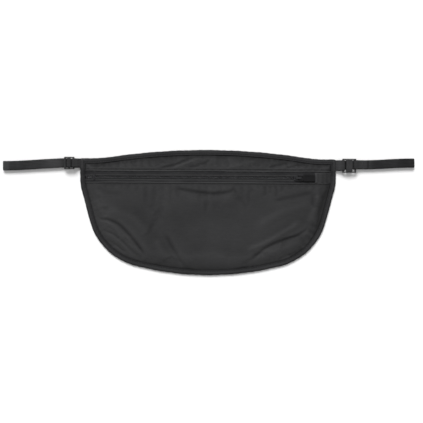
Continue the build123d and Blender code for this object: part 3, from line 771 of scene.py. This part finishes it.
# ---- Zip coils and stops -----------------------------------------------------------------------
# Two nylon coils sewn under the tapes' inner edges, whose turns mesh along the middle of the zip and
# run on under the binding, with pressed metal stops clamped on the tapes at both ends.

filament, tree, skin = material("black nylon coil", 0.4, Specular_IOR_Level=0.5)
wash = clouded(tree, own_place(tree), 140)
colour = dyed(tree, (0.030, 0.030, 0.032), (0.055, 0.055, 0.058), wash["Broad"])
rough, relief = scaled(tree, wash["Fine"], 0.2, 0.3), bump(tree, wash["Fine"], 0.00003, 0.4)
skin_with(tree, skin, colour, rough, relief)


def rule_tree(name, sizes, finish):
    """An empty Geometry Nodes tree: some sizes, a seed and a material come in with the geometry."""
    tree = bpy.data.node_groups.new(name, "GeometryNodeTree")
    sockets = [("Geometry", "Geometry"), *((size, "Float") for size in sizes)]
    for title, kind in (*sockets, ("Seed", "Int"), (finish, "Material")):
        tree.interface.new_socket(title, in_out="INPUT", socket_type="NodeSocket" + kind)
    tree.interface.new_socket("Geometry", in_out="OUTPUT", socket_type="NodeSocketGeometry")
    return tree, tree.nodes.new("NodeGroupInput").outputs, tree.nodes.new("NodeGroupOutput").inputs


def spaced(tree, given):
    """Points one pitch apart along the lines that a tree is given."""
    line = node(tree, "GeometryNodeMeshToCurve", {0: given["Geometry"]}).outputs[0]
    steps = {"Curve": line, "Length": given["Pitch"]}
    return node(tree, "GeometryNodeCurveToPoints", steps, mode="LENGTH").outputs


def askew(tree, given, turn, stray):
    """A turn about the upright axis that is a little different on every point."""
    limits = {2: scaled(tree, given[stray], -1.0), 3: given[stray], "Seed": given["Seed"]}
    loose = node(tree, "FunctionNodeRandomValue", limits, data_type="FLOAT").outputs[1]
    spin = node(tree, "ShaderNodeCombineXYZ", {2: calc(tree, "ADD", given[turn], loose)}).outputs[0]
    return node(tree, "FunctionNodeEulerToRotation", {0: spin}).outputs[0]


def strewn(tree, given, gives, places, piece, aim, finish):
    """One piece on every point, made real and given its material."""
    set_out = {"Points": places["Points"], "Instance": piece, "Rotation": aim}
    made = node(tree, "GeometryNodeInstanceOnPoints", set_out).outputs[0]
    made = node(tree, "GeometryNodeRealizeInstances", {0: made}).outputs[0]
    made = node(tree, "GeometryNodeSetMaterial", {"Geometry": made, "Material": given[finish]}).outputs[0]
    tree.links.new(made, gives["Geometry"])


def grow(name, tree, lines, values):
    """Run a tree over lines of points and leave what it makes as a plain mesh."""
    mesh, points, edges = bpy.data.meshes.new(name), [], []
    for line in lines:
        edges += [(len(points) + k, len(points) + k + 1) for k in range(len(line) - 1)]
        points += [tuple(p) for p in line]
    mesh.from_pydata(points, edges, [])
    obj = bpy.data.objects.new(name, mesh)
    bpy.context.scene.collection.objects.link(obj)
    rule = obj.modifiers.new("rule", "NODES")
    rule.node_group = tree
    for item in tree.interface.items_tree:
        if item.in_out == "INPUT" and item.name in values:
            rule[item.identifier] = values[item.name]
    obj.update_tag()
    made = bpy.data.meshes.new_from_object(obj.evaluated_get(bpy.context.evaluated_depsgraph_get()))
    obj.modifiers.clear()
    obj.data = made
    made.polygons.foreach_set("use_smooth", [True] * len(made.polygons))
    return obj


turns, given, gives = rule_tree(
    "coil turns", ("Pitch", "Width", "Height", "Wire", "Lean", "Unevenness"), "Filament"
)
half = {0: scaled(turns, given["Height"], 0.5), 1: scaled(turns, given["Width"], 0.5), 2: 1.0}
oval = {
    "Geometry": node(turns, "GeometryNodeCurvePrimitiveCircle", {"Resolution": 9, "Radius": 1.0}).outputs[0],
    "Scale": node(turns, "ShaderNodeCombineXYZ", half).outputs[0],
    "Rotation": (0.0, math.pi / 2, 0.0),
}
wire = {"Resolution": 5, "Radius": scaled(turns, given["Wire"], 0.5)}
one_turn = {
    "Curve": node(turns, "GeometryNodeTransform", oval).outputs[0],
    "Profile Curve": node(turns, "GeometryNodeCurvePrimitiveCircle", wire).outputs[0],
}
turn = node(turns, "GeometryNodeCurveToMesh", one_turn).outputs[0]
aim = askew(turns, given, "Lean", "Unevenness")
strewn(turns, given, gives, spaced(turns, given), turn, aim, "Filament")

low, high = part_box("zip_coil_upper")
sizes = {"Pitch": 0.00118, "Width": 0.00168, "Height": 0.00108, "Wire": 0.0005, "Unevenness": 0.05}
for name, side, start in (("zip_coil_upper", 1, 0.0), ("zip_coil_lower", -1, 0.0006)):
    x = np.linspace(-0.1342 + start, high.x - 0.0004, 90)
    y = np.full_like(x, zip_y + side * 0.00082)
    line = np.stack([x, y, np.minimum(0.00445, front_height(np.stack([x, y], 1)) - 0.0009)], 1)
    values = {**sizes, "Lean": 0.16 * side, "Seed": 4 + side, "Filament": filament}
    coil = grow(name + "_turns", turns, [line], values)
    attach(coil, "root")
    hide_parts(name)

# Rubbed edges: paint or skin worn off where a hard piece turns a corner
rubbed_edges, given, gives = effect(
    "rubbed edges", {"Radius": 0.0003, "Reach": 0.12, "Scale": 900.0}, ("Rubbed",)
)
round_off = node(rubbed_edges, "ShaderNodeBevel", {"Radius": given["Radius"]}, samples=4).outputs[0]
true = node(rubbed_edges, "ShaderNodeNewGeometry").outputs["Normal"]
turned = node(rubbed_edges, "ShaderNodeVectorMath", {0: round_off, 1: true}, operation="DOT_PRODUCT")
turned = calc(rubbed_edges, "SUBTRACT", 1.0, turned.outputs["Value"])
speck = {"Vector": given["Vector"], "Scale": given["Scale"], "Detail": 4.0}
speck = node(rubbed_edges, "ShaderNodeTexNoise", speck).outputs["Fac"]
worn = {"Value": turned, "From Min": 0.01, "From Max": given["Reach"]}
worn = node(rubbed_edges, "ShaderNodeMapRange", worn, clamp=True).outputs[0]
worn = scaled(rubbed_edges, worn, scaled(rubbed_edges, speck, 1.6, -0.25))
rubbed_edges.links.new(node(rubbed_edges, "ShaderNodeClamp", {0: worn}).outputs[0], gives["Rubbed"])


def hard_finish(name, dark, light, rubbed_colour, rough, grain, metal, specular):
    """Enamel or moulded plastic: a fine grain, a cloudy sheen and rubbed edges."""
    made, tree, skin = material(name, rough, metal, Specular_IOR_Level=specular)
    place = own_place(tree)
    wash = clouded(tree, place, 260, 2600)
    rubbed = node(tree, "ShaderNodeGroup", {"Vector": place}, node_tree=rubbed_edges).outputs["Rubbed"]
    colour = dyed(tree, dyed(tree, dark, light, wash["Broad"]), rubbed_colour, rubbed)
    gloss = scaled(tree, wash["Broad"], 0.16, scaled(tree, rubbed, -0.12, rough - 0.08))
    skin_with(tree, skin, colour, gloss, bump(tree, wash["Fine"], grain, 0.6))
    return made


def clad(finish, *names):
    """Give CAD pieces their material."""
    for name in names:
        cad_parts[name].data.materials.clear()
        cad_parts[name].data.materials.append(finish)


enamel = hard_finish(
    "black enamelled metal", (0.009, 0.009, 0.010), (0.016, 0.016, 0.018), (0.06, 0.06, 0.064),
    rough=0.36, grain=0.00001, metal=0.1, specular=0.3,
)
clad(enamel, "zip_top_stops", "zip_bottom_stop")

# ---- Slider and puller -------------------------------------------------------------------------
# A die-cast slider in black enamel with a bowed crown, and a rubber-coated puller that hangs on the
# crown and lies towards the closed end of the zip.

clad(enamel, "slider_body", "slider_crown")
rubber = hard_finish(
    "black rubber coating", (0.0025, 0.0025, 0.003), (0.006, 0.006, 0.0065), (0.02, 0.02, 0.02),
    rough=0.7, grain=0.00003, metal=0.0, specular=0.15,
)
clad(rubber, "zip_puller")

# ---- Cover at the closed end of the zip --------------------------------------------------------
# A small square of the pouch's nylon with its free edge folded under. It hides the tapes' ends and
# is sewn down with a box of stitches.

low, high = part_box("zip_end_tab")
cover_rows = (
    # distance from the cover's free edge, and height, in millimetres
    (-0.2, -0.9), (-0.3, -0.35), (0.0, 0.12), (0.6, 0.30), (1.4, 0.22), (2.6, 0.05), (4.5, 0.02), (7.0, 0.05),
    (9.5, 0.03), (12.0, 0.0), (14.0, 0.04), (15.5, 0.0), (16.8, 0.0), (18.0, -0.1), (19.5, -0.3),
)
x, up = np.array(cover_rows).T / 1000
flat = np.stack(np.meshgrid(low.x + x, np.linspace(low.y - 0.0003, high.y - 0.0004, 15), indexing="ij"), 2)
height = np.minimum(front_height(flat.reshape(-1, 2)), 0.0058).reshape(flat.shape[:2]) + 0.0002 + up[:, None]
height += 0.0001 * np.sin(flat[:, :, 0] * 900 + flat[:, :, 1] * 400)
height[:, [0, -1]] -= 0.0005
cover = made_solid(raised("zip_end_cover", flat, height), 0.0004)
across = points_of(cover)[:, 0] - low.x
# Painted highlight along the folded free edge, darker further in, and faint painted stripes of light and
# shade across the cover.
edge_light_and_shade = 0.5 * bell(across, 0.0012, 0.0010) - 0.25 * ease((across - 0.006) / 0.004)
keep_shade_and_wear(cover, edge_light_and_shade + 0.12 * np.sin(across * 1300))
dress(cover, nylon, "root", ["zip_end_tab"])

# ---- Stitching ---------------------------------------------------------------------------------
# Lockstitch in dark bonded thread: one row round the binding, one along each hem and each zip tape,
# and a box round the end cover. The bar tacks of the webbing, further down, are sewn the same way.

thread, tree, skin = material("dark bonded thread", 0.6, Specular_IOR_Level=0.35)
place = own_place(tree)
wash = clouded(tree, place, 300, 3000)
ply = node(tree, "ShaderNodeVectorMath", {0: place, 1: (9000.0, 7000.0, 0.0)}, operation="DOT_PRODUCT")
ply = calc(tree, "SINE", ply.outputs["Value"])
colour = dyed(tree, (0.014, 0.014, 0.015), (0.040, 0.040, 0.041), wash["Broad"])
skin_with(tree, skin, colour, scaled(tree, wash["Fine"], 0.2, 0.5), bump(tree, ply, 0.00003, 0.6))

stitches, given, gives = rule_tree(
    "row of stitches", ("Pitch", "Length", "Thickness", "Turn", "Wander"), "Thread"
)
places = spaced(stitches, given)
aim = node(stitches, "FunctionNodeAlignRotationToVector", {"Vector": places["Tangent"]}, axis="X").outputs[0]
aim = {0: aim, 1: askew(stitches, given, "Turn", "Wander")}
aim = node(stitches, "FunctionNodeRotateRotation", aim, rotation_space="LOCAL").outputs[0]
bead = node(stitches, "GeometryNodeMeshUVSphere", {"Segments": 7, "Rings": 5, "Radius": 0.5}).outputs[0]
bead = {"Geometry": bead, "Rotation": (0.0, math.pi / 2, 0.0)}
bead = node(stitches, "GeometryNodeTransform", bead).outputs[0]
long_bead = {0: given["Length"], 1: given["Thickness"], 2: given["Thickness"]}
bead = {"Geometry": bead, "Scale": node(stitches, "ShaderNodeCombineXYZ", long_bead).outputs[0]}
bead = node(stitches, "GeometryNodeTransform", bead).outputs[0]
strewn(stitches, given, gives, places, bead, aim, "Thread")


def on_surface(obj, line, above=0.00005):
    """The line dropped on a piece from above."""
    faces, down, path = surface_of(obj), Vector((0, 0, -1)), []
    for x, y in line:
        found = faces.ray_cast(Vector((x, y, 0.03)), down)[0]
        if found is not None:
            path.append((x, y, found[2] + above))
    return path


def sew(name, lines, pitch, length, thick, seed, turn=0.0, body="root", nodes=()):
    """Rows of stitches along lines, on one body."""
    values = {"Pitch": pitch, "Length": length, "Thickness": thick, "Turn": turn, "Seed": seed}
    row = grow(name, stitches, lines, {**values, "Wander": 0.06, "Thread": thread})
    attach(row, body)
    if nodes:
        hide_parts(*nodes)


groove = lip + stitch_share * (rim - lip)
groove = on_surface(binding_tape, np.concatenate([groove, groove[:1]]))
sew("binding_stitches", [groove], 0.0027, 0.0022, 0.00034, 2)
x = np.linspace(-0.1335, 0.1335, 300)
hems = [
    on_surface(piece, np.stack([x, y + wander(x)], 1), 0.0001)
    for piece, y, wander in ((front_panel, groove_low, low_wander), (yoke, groove_high, high_wander))
]
sew("hem_stitches", hems, 0.0026, 0.0021, 0.00032, 3)
x = np.linspace(-0.126, 0.117, 260)
tape_lines = [
    on_surface(tape, np.stack([x, np.full_like(x, zip_y + side * stitch_out)], 1))
    for tape, side in zip(tapes, (1, -1))
]
sew("zip_stitches", tape_lines, 0.0018, 0.0014, 0.00026, 5)
left, right, foot, top = low.x + 0.0018, high.x - 0.0012, low.y + 0.0014, high.y - 0.0014
box = np.array([(left, foot), (right, foot), (right, top), (left, top), (left, foot)])
box = np.concatenate([even(box[k:k + 2], 30) for k in range(4)])
sew("end_cover_stitches", [on_surface(cover, box)], 0.0021, 0.0017, 0.0003, 6)

# ---- Webbing tabs ------------------------------------------------------------------------------
# Short lengths of ribbed polyester webbing, each folded round the bar of the slide or of the clasp,
# with both its ends caught in the pouch's side seam under the binding.

webbing, tree, skin = material("ribbed webbing", 0.75, Specular_IOR_Level=0.15, Sheen_Weight=0.05)
rib_pitch, webbing_thick = 0.00167, 0.00094
coat = node(tree, "ShaderNodeUVMap", uv_map="along").outputs[0]
cloth, wash, shade_and_wear = woven(tree, coat, 1300, 1600), clouded(tree, own_place(tree), 60), shade_and_wear_of(tree)
side = node(tree, "ShaderNodeSeparateXYZ", {0: coat}).outputs[1]
rib = calc(tree, "COSINE", scaled(tree, side, 2 * math.pi / rib_pitch))
tone = scaled(tree, wash["Broad"], 0.45, scaled(tree, rib, 0.22, scaled(tree, cloth["Slub"], 0.4)))
colour = dyed(tree, (0.011, 0.011, 0.0115), (0.036, 0.036, 0.0375), calc(tree, "ADD", tone, shade_and_wear))
# Painted shade: below nought the webbing sinks towards deep_shade, along its selvedges and at the sewn end by
# the clasp.
colour = dyed(tree, colour, deep_shade, scaled(tree, shade_and_wear, -1.0, -0.3))
colour = dyed(tree, colour, (0.005, 0.005, 0.006), scaled(tree, cloth["Gaps"], 0.4))
relief = bump(tree, cloth["Height"], 0.00006, 0.6, bump(tree, rib, 0.00008, 0.7))
skin_with(tree, skin, colour, scaled(tree, wash["Fine"], 0.15, 0.66), relief)


def bent(path, radius=0.0008):
    """Straight runs of (x, z) points with their corners rounded."""
    line = [np.array(path[0], float)]
    for a, b, c in zip(path, path[1:], path[2:]):
        a, b, c = (np.array(p, float) for p in (a, b, c))
        back, on = np.linalg.norm(a - b), np.linalg.norm(c - b)
        u, v = (a - b) / back, (c - b) / on
        half = math.acos(max(-1.0, min(1.0, float(u @ v)))) / 2
        cut = min(radius / math.tan(half), 0.49 * back, 0.49 * on) if half < 1.56 else 0
        for t in np.linspace(0, 1, 7):
            line.append((1 - t) ** 2 * (b + u * cut) + 2 * t * (1 - t) * b + t * t * (b + v * cut))
    return line + [np.array(path[-1], float)]


def round_bar(bar, upper, lower, radius=0.00175):
    """Webbing's (x, z) points from its upper layer round a bar and back along its lower layer."""
    bar, side = np.array(bar), 1 if upper[-1][0] > bar[0] else -1
    touch = []
    for point, turn in ((upper[-1], side), (lower[-1], -side)):
        run = np.array(point) - bar
        touch.append(math.atan2(run[1], run[0]) + turn * math.acos(radius / np.linalg.norm(run)))
    a, b = touch
    if side > 0:
        b += 2 * math.pi if b < a else 0
    else:
        b -= 2 * math.pi if b > a else 0
    arc = [bar + radius * np.array([math.cos(t), math.sin(t)]) for t in np.linspace(a, b, 22)]
    return bent([*upper, arc[0]]) + arc[1:-1] + bent([arc[-1], *reversed(lower)])


def ribbon(name, path, middle, width, worn, wave=0.00005):
    """Flat webbing along a path of (x, z) points: a closed band with rounded selvedges."""
    line = np.array(path)
    length = np.linalg.norm(np.diff(line, axis=0), axis=1).sum()
    line = even(line, int(length / 0.00065))
    run = np.linspace(0, length, len(line))
    along = np.gradient(line, axis=0)
    along /= np.linalg.norm(along, axis=1)[:, None]
    normal = np.stack([-along[:, 1], along[:, 0]], 1)
    line = line + normal * (wave * np.sin(run * 173 + 1) * np.sin(run * 61))[:, None]
    across = np.array([0.2, 0.4, 0.6, 0.75, 0.86, 0.94, 0.985, 1])
    across = np.concatenate([-across[::-1], [0], across])
    ribs = 0.06 * np.cos(across * width * math.pi / rib_pitch)
    half = 0.5 * webbing_thick * (np.sqrt(1 - np.abs(across) ** 7) + ribs)
    half[[0, -1]] = 0
    ring = [*zip(across, half), *zip(across[-2:0:-1], -half[-2:0:-1])]
    fray = 1 + 0.004 * np.sin(run * 900) + 0.004 * np.sin(run * 313)
    rows = []
    for a, h in ring:
        y = middle(line[:, 0]) + 0.5 * a * width * fray
        rows.append(np.stack([line[:, 0] + normal[:, 0] * h, y, line[:, 1] + normal[:, 1] * h], 1))
    points = np.stack(rows, 1)
    band = cloth_piece(name, points, tube=1)
    places = [divmod(corner.vertex_index, len(ring)) for corner in band.data.loops]
    unrolled(band, [(run[i], 0.5 * width * ring[j][0]) for i, j in places])
    # The selvedges are painted darker, as shade where the rounded edges turn away; the rest comes from the
    # given light, shade and wear along the band.
    shaded_selvedge = np.array([abs(a) > 0.9 for a, h in ring])
    keep_shade_and_wear(band, (worn(points[:, :, 0]) - 0.55 * shaded_selvedge[None]).ravel())
    band["length"] = float(length)
    return band


def tab_wear(x):
    """Paler where a tab leaves the binding."""
    return 0.35 * bell(np.abs(x), 0.1448, 0.0018)


bar_in, upper_z, lower_z = 0.00225, 0.00315, 0.00205
for name, side, hardware, nudge in (
    ("slide_tab", -1, "strap_slide", 0.0004),
    ("clasp_tab", 1, "clasp_socket", 0.0003),
):
    low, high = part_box(name)
    bar = (low.x + bar_in if side < 0 else high.x - bar_in, high.z - bar_in)
    middle_y, width = (low.y + high.y) / 2 + nudge, high.y - low.y
    seam_x, end_x = side * 0.1418, side * 0.1362
    path = round_bar(bar, [(end_x, upper_z), (seam_x, upper_z)], [(end_x, lower_z), (seam_x, lower_z)])
    tab = ribbon(name + "_webbing", path, lambda x: np.full_like(x, middle_y), width - 0.0001, tab_wear, 0.0)
    dress(tab, webbing, "root", [name])

# ---- Slide and clasp ---------------------------------------------------------------------------
# A three-bar slide and a two-part side clasp, both injection-moulded in black acetal with a fine
# spark-eroded grain. Their edges and the clasp's ribs are polished by handling.

acetal = hard_finish(
    "black moulded acetal", (0.010, 0.010, 0.011), (0.019, 0.019, 0.020), (0.055, 0.055, 0.057),
    rough=0.42, grain=0.000012, metal=0.0, specular=0.35,
)
clad(acetal, "strap_slide", "clasp_socket", "clasp_plug")

# ---- Strap -------------------------------------------------------------------------------------
# One narrow ribbed strap. From its free end it goes up through the slide, over the middle bar, out
# to the left fold, behind the pouch, round the right fold and back to the clasp, where it is sewn.

strap_y = 0.0535


def strap_middle(x):
    """The strap's middle line: it lies across the table in a slight curve at both ends."""
    centred = 0.0004 * bell(x, -0.156, 0.012) + 0.0001 * bell(x, 0.160, 0.012)
    return strap_y + centred - 0.0030 * ease((-x - 0.158) / 0.066) + 0.0022 * ease((x - 0.170) / 0.054)


def strap_shade_and_wear(x):
    """Painted light and shade along the strap: a painted highlight round the left fold, a thin painted shadow
    at the sewn end's step by the clasp, paler beside the slide and the clasp, darker on the run out to the
    right fold and just short of the left fold.
    """
    fold_highlight = 0.55 * ease((-x - 0.218) / 0.002)
    left = fold_highlight - 0.3 * bell(x, -0.2085, 0.009, 4) + 0.5 * bell(x, -0.1695, 0.007, 4)
    right = -0.36 * ease((x - 0.176) / 0.006) + 0.2 * bell(x, 0.1695, 0.003) - 0.9 * bell(x, 0.1760, 0.0007)
    return left + right - 0.12 * ease((x - 0.200) / 0.02) + 0.1 * np.sin(x * 310) * np.sin(x * 97)


def fold(x, way, z, radius=0.0015):
    """The strap's half turn at one of its folds, as (x, z) points."""
    turn = np.linspace(0, math.pi, 14)
    return [(way * (x + radius * math.sin(t)), z - way * radius * math.cos(t)) for t in turn]


low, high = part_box("strap_threaded")
slot_x, down_x, top_z = -0.1549, high.x - 0.0005, high.z - 0.0005
tail_z, front_z, rear_z, fold_x, right_fold_out = 0.0020, 0.0035, 0.0005, 0.2240, 0.0014
tail = [(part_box("strap_tail")[0].x, tail_z), (down_x, tail_z), (down_x, top_z), (slot_x, top_z)]
path = bent([*tail, (slot_x, front_z), (-0.170, front_z)])
path += [np.array(p) for p in [*fold(fold_x, -1, tail_z), (-0.190, rear_z)]]
strap_a = ribbon("strap_with_free_end", path, strap_middle, 0.0103, strap_shade_and_wear)
low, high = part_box("clasp_plug")
bar = (high.x - 0.0010, 0.00405)
path = [np.array(p) for p in [(-0.190, rear_z), *fold(fold_x + right_fold_out, 1, tail_z)]]
upper = [(0.2050, front_z + 0.0001), (bar[0] + 0.0055, front_z)]
path += round_bar(bar, upper, [(bar[0] + 0.0100, tail_z), (bar[0] + 0.0055, tail_z)])
strap_b = ribbon("strap_to_clasp", path, strap_middle, 0.0100, strap_shade_and_wear)
for strap, hardware, nodes in (
    (strap_a, "strap_slide", ["strap_left", "strap_threaded", "strap_tail"]),
    (strap_b, "clasp_plug", ["strap_right"]),
):
    dress(strap, webbing, None, nodes)


def tack(piece, x, y, reach, count, above):
    """The line of a bar tack across the webbing."""
    line = np.stack([np.full(count, x), np.linspace(y - reach, y + reach, count)], 1)
    return on_surface(piece, line, above)


line = tack(strap_b, bar[0] + 0.0080, strap_y, 0.0043, 40, 0.0)
sew("strap_tack", [line], 0.00034, 0.0015, 0.00034, 7, math.pi / 2, "clasp_half", ["strap_tacks"])
for strap, mover, start, end in ((strap_a, "adjuster", -0.175, -0.160), (strap_b, "clasp_half", 0.0, 0.15)):
    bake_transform(strap)
lines = [
    tack(binding_tape, x, y, reach, 50, 0.00003)
    for x, y, reach in ((-0.1386, strap_y, 0.0047), (0.1386, 0.0523, 0.0055))
]
sew("tab_tacks_thread", lines, 0.00034, 0.0014, 0.00034, 8, math.pi / 2, "root", ["tab_tacks"])

# ---- Table, light and camera -------------------------------------------------------------------
# A plain white table under one broad soft light from beyond the pouch's top edge and a weak fill,
# and a camera straight above.

floor, tree, skin = material("white table", 0.9)
skin.inputs["Base Color"].default_value = (0.86, 0.86, 0.86, 1)
made = bmesh.new()
bmesh.ops.create_grid(made, x_segments=6, y_segments=6, size=4.0)
bmesh.ops.translate(made, verts=made.verts, vec=(0, 0, -0.0001))
mesh = bpy.data.meshes.new("table")
made.to_mesh(mesh)
made.free()
table = bpy.data.objects.new("table", mesh)
mesh.materials.append(floor)
bpy.context.scene.collection.objects.link(table)

for name, place, spread, power in (
    ("key", (-0.18, 0.90, 0.80), 34, 3.9),
    ("fill", (0.5, -0.4, 1.4), 60, 0.45),
):
    lamp = bpy.data.lights.new(name, "SUN")
    lamp.angle, lamp.energy = math.radians(spread), power
    light = bpy.data.objects.new(name, lamp)
    light.location = place
    light.rotation_euler = (-Vector(place)).to_track_quat("-Z", "Y").to_euler()
    bpy.context.scene.collection.objects.link(light)
world = bpy.data.worlds.new("studio")
world.use_nodes = True
world.node_tree.nodes["Background"].inputs["Color"].default_value = (1, 1, 1, 1)
world.node_tree.nodes["Background"].inputs["Strength"].default_value = 0.33
bpy.context.scene.world = world
bpy.context.scene.view_settings.view_transform = "Standard"

lens = bpy.data.cameras.new("camera")
lens.lens, lens.sensor_width, lens.clip_start = 85.1, 36.0, 0.01
camera = bpy.data.objects.new("camera", lens)
camera.location = (0.00407, 0.00125, 1.104)
camera.rotation_euler = (0, 0, math.radians(0.3))
bpy.context.scene.collection.objects.link(camera)
bpy.context.scene.camera = camera
